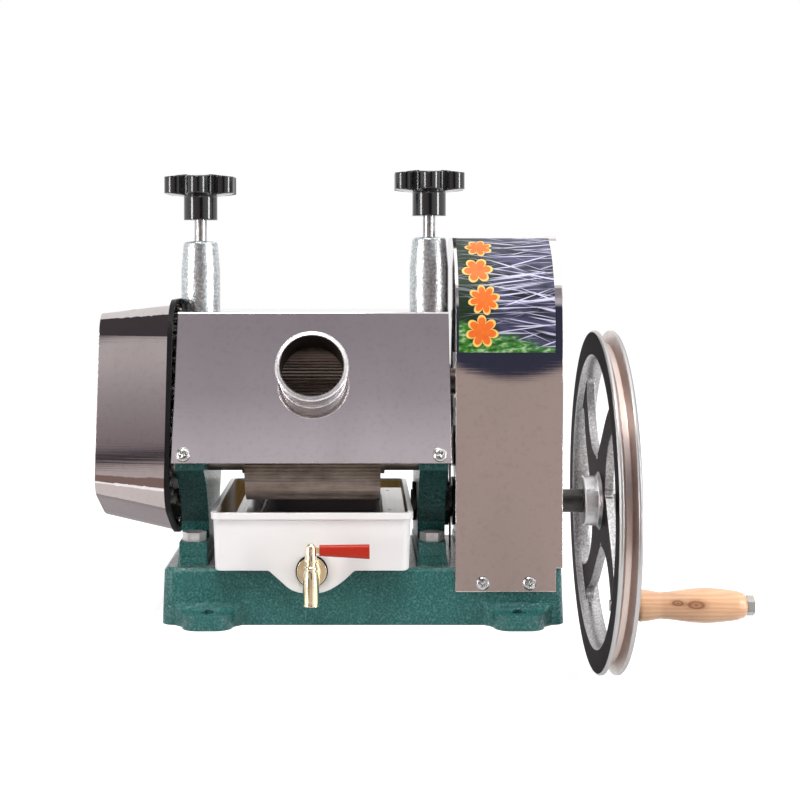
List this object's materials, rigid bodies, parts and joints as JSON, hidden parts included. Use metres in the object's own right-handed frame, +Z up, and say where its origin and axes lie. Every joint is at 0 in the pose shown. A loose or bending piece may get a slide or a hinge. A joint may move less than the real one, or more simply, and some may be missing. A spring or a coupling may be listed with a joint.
{
  "type": "manual sugarcane juicer",
  "caption": "Hand-cranked sugarcane press: fluted rollers under a sloping hood with a feed tube, geared to a spoked handwheel, over a slide-out juice tray with a tap.",
  "frame": {"origin": "centre of the four foot bolt holes, on the underside of the cast base", "axes": "+X along the rollers towards the handwheel, -Y towards the feed side, +Z up"},
  "size_m": [0.5961, 0.325, 0.4773],
  "materials": {
    "green_paint": "green hammer-finish enamel",
    "silver_casting": "silver-painted rough casting",
    "stainless": "polished stainless sheet",
    "roller_steel": "fluted steel",
    "gear_steel": "machined steel, oiled",
    "shaft_steel": "dark machined steel",
    "bronze": "bronze bearing metal",
    "zinc": "zinc-plated fastener",
    "black_gloss": "glossy black phenolic",
    "black_rubber": "matte black rubber",
    "urethane": "cast urethane",
    "white_plastic": "off-white moulded plastic",
    "strainer_metal": "dull stainless sheet",
    "tap_brass": "cast brass",
    "red_vinyl": "red vinyl sleeve",
    "cast_aluminium": "cast and turned aluminium",
    "wood": "varnished pale wood"
  },
  "bodies": {
    "frame": {"base_casting": "green_paint", "left_upright": "green_paint", "right_upright": "green_paint", "upright_bolts": "zinc", "lower_bushes": "shaft_steel", "input_bushes": "shaft_steel", "bearing_pedestal": "green_paint", "pedestal_bolts": "zinc", "left_tower": "silver_casting", "right_tower": "silver_casting", "tower_screws": "zinc", "front_hood": "stainless", "feed_tube": "stainless", "rear_hood": "stainless", "hood_screws": "zinc", "gear_cover": "stainless", "gear_cover_screws": "zinc", "left_cover": "stainless", "left_cover_trim": "black_rubber", "cover_posts": "zinc", "left_cover_screws": "zinc"},
    "top_carriage": {"left_bearing_block": "silver_casting", "right_bearing_block": "silver_casting", "top_bushes": "bronze", "left_spring": "urethane", "right_spring": "urethane"},
    "top_roller": {"top_roller": "roller_steel", "top_roller_gear": "gear_steel", "top_roller_nut": "zinc", "drive_gear": "gear_steel", "drive_gear_key": "gear_steel", "drive_gear_nut": "zinc"},
    "front_roller": {"front_roller": "roller_steel", "front_roller_gear": "gear_steel", "front_roller_nut": "zinc"},
    "rear_roller": {"rear_roller": "roller_steel", "rear_roller_gear": "gear_steel", "rear_roller_nut": "zinc"},
    "left_cap": {"left_thrust_cap": "shaft_steel"},
    "left_screw": {"left_pressure_screw": "zinc", "left_star_knob": "black_gloss"},
    "right_cap": {"right_thrust_cap": "shaft_steel"},
    "right_screw": {"right_pressure_screw": "zinc", "right_star_knob": "black_gloss"},
    "handwheel": {"input_shaft": "shaft_steel", "input_keys": "gear_steel", "pinion": "gear_steel", "handwheel": "cast_aluminium", "wheel_washer": "zinc", "wheel_nut": "zinc", "grip_bolt": "zinc"},
    "grip": {"grip": "wood"},
    "tray": {"juice_tray": "white_plastic", "strainer": "strainer_metal", "tap_washer": "black_rubber", "tap_nut": "tap_brass", "tap_body": "tap_brass"},
    "tap_lever": {"tap_lever": "tap_brass", "lever_sleeve": "red_vinyl"}
  },
  "joints": [
    {"name": "top_roller_lift", "type": "slide", "parent": "frame", "child": "top_carriage", "axis": [0, 0, 1], "range_m": [0, 0.003], "deforming": ["left_spring", "right_spring"]},
    {"name": "top_roller_spin", "type": "hinge", "parent": "top_carriage", "child": "top_roller", "pos_m": [-0.0457, 0, 0.2126], "axis": [1, 0, 0], "continuous": true},
    {"name": "front_roller_spin", "type": "hinge", "parent": "frame", "child": "front_roller", "pos_m": [-0.0457, -0.0446, 0.14619], "axis": [1, 0, 0], "continuous": true},
    {"name": "rear_roller_spin", "type": "hinge", "parent": "frame", "child": "rear_roller", "pos_m": [-0.0457, 0.0446, 0.14619], "axis": [1, 0, 0], "continuous": true},
    {"name": "left_cap_slide", "type": "slide", "parent": "frame", "child": "left_cap", "axis": [0, 0, 1], "range_m": [-0.0035, 0.0035]},
    {"name": "left_knob_turn", "type": "hinge", "parent": "left_cap", "child": "left_screw", "pos_m": [-0.1542, 0, 0.38], "axis": [0, 0, 1], "range_deg": [-715, 715]},
    {"name": "right_cap_slide", "type": "slide", "parent": "frame", "child": "right_cap", "axis": [0, 0, 1], "range_m": [-0.0035, 0.0035]},
    {"name": "right_knob_turn", "type": "hinge", "parent": "right_cap", "child": "right_screw", "pos_m": [0.0628, 0, 0.38], "axis": [0, 0, 1], "range_deg": [-715, 715]},
    {"name": "handwheel_spin", "type": "hinge", "parent": "frame", "child": "handwheel", "pos_m": [0.2043, 0, 0.0986], "axis": [1, 0, 0], "continuous": true},
    {"name": "grip_spin", "type": "hinge", "parent": "handwheel", "child": "grip", "pos_m": [0.2943, -0.08805, 0.01707], "axis": [1, 0, 0], "continuous": true},
    {"name": "tray_slide", "type": "slide", "parent": "frame", "child": "tray", "axis": [0, -1, 0], "range_m": [0, 0.25]},
    {"name": "tap_turn", "type": "hinge", "parent": "tray", "child": "tap_lever", "pos_m": [-0.0457, -0.126, 0.07], "axis": [0, 0, 1], "range_deg": [-90, 0]}
  ],
  "couplings": [
    {"joint": "front_roller_spin", "follows": "top_roller_spin", "ratio": -1},
    {"joint": "rear_roller_spin", "follows": "top_roller_spin", "ratio": -1},
    {"joint": "handwheel_spin", "follows": "top_roller_spin", "ratio": -2.5625},
    {"joint": "left_cap_slide", "follows": "left_knob_turn", "m_per_rad": 0.00027852},
    {"joint": "right_cap_slide", "follows": "right_knob_turn", "m_per_rad": 0.00027852}
  ]
}
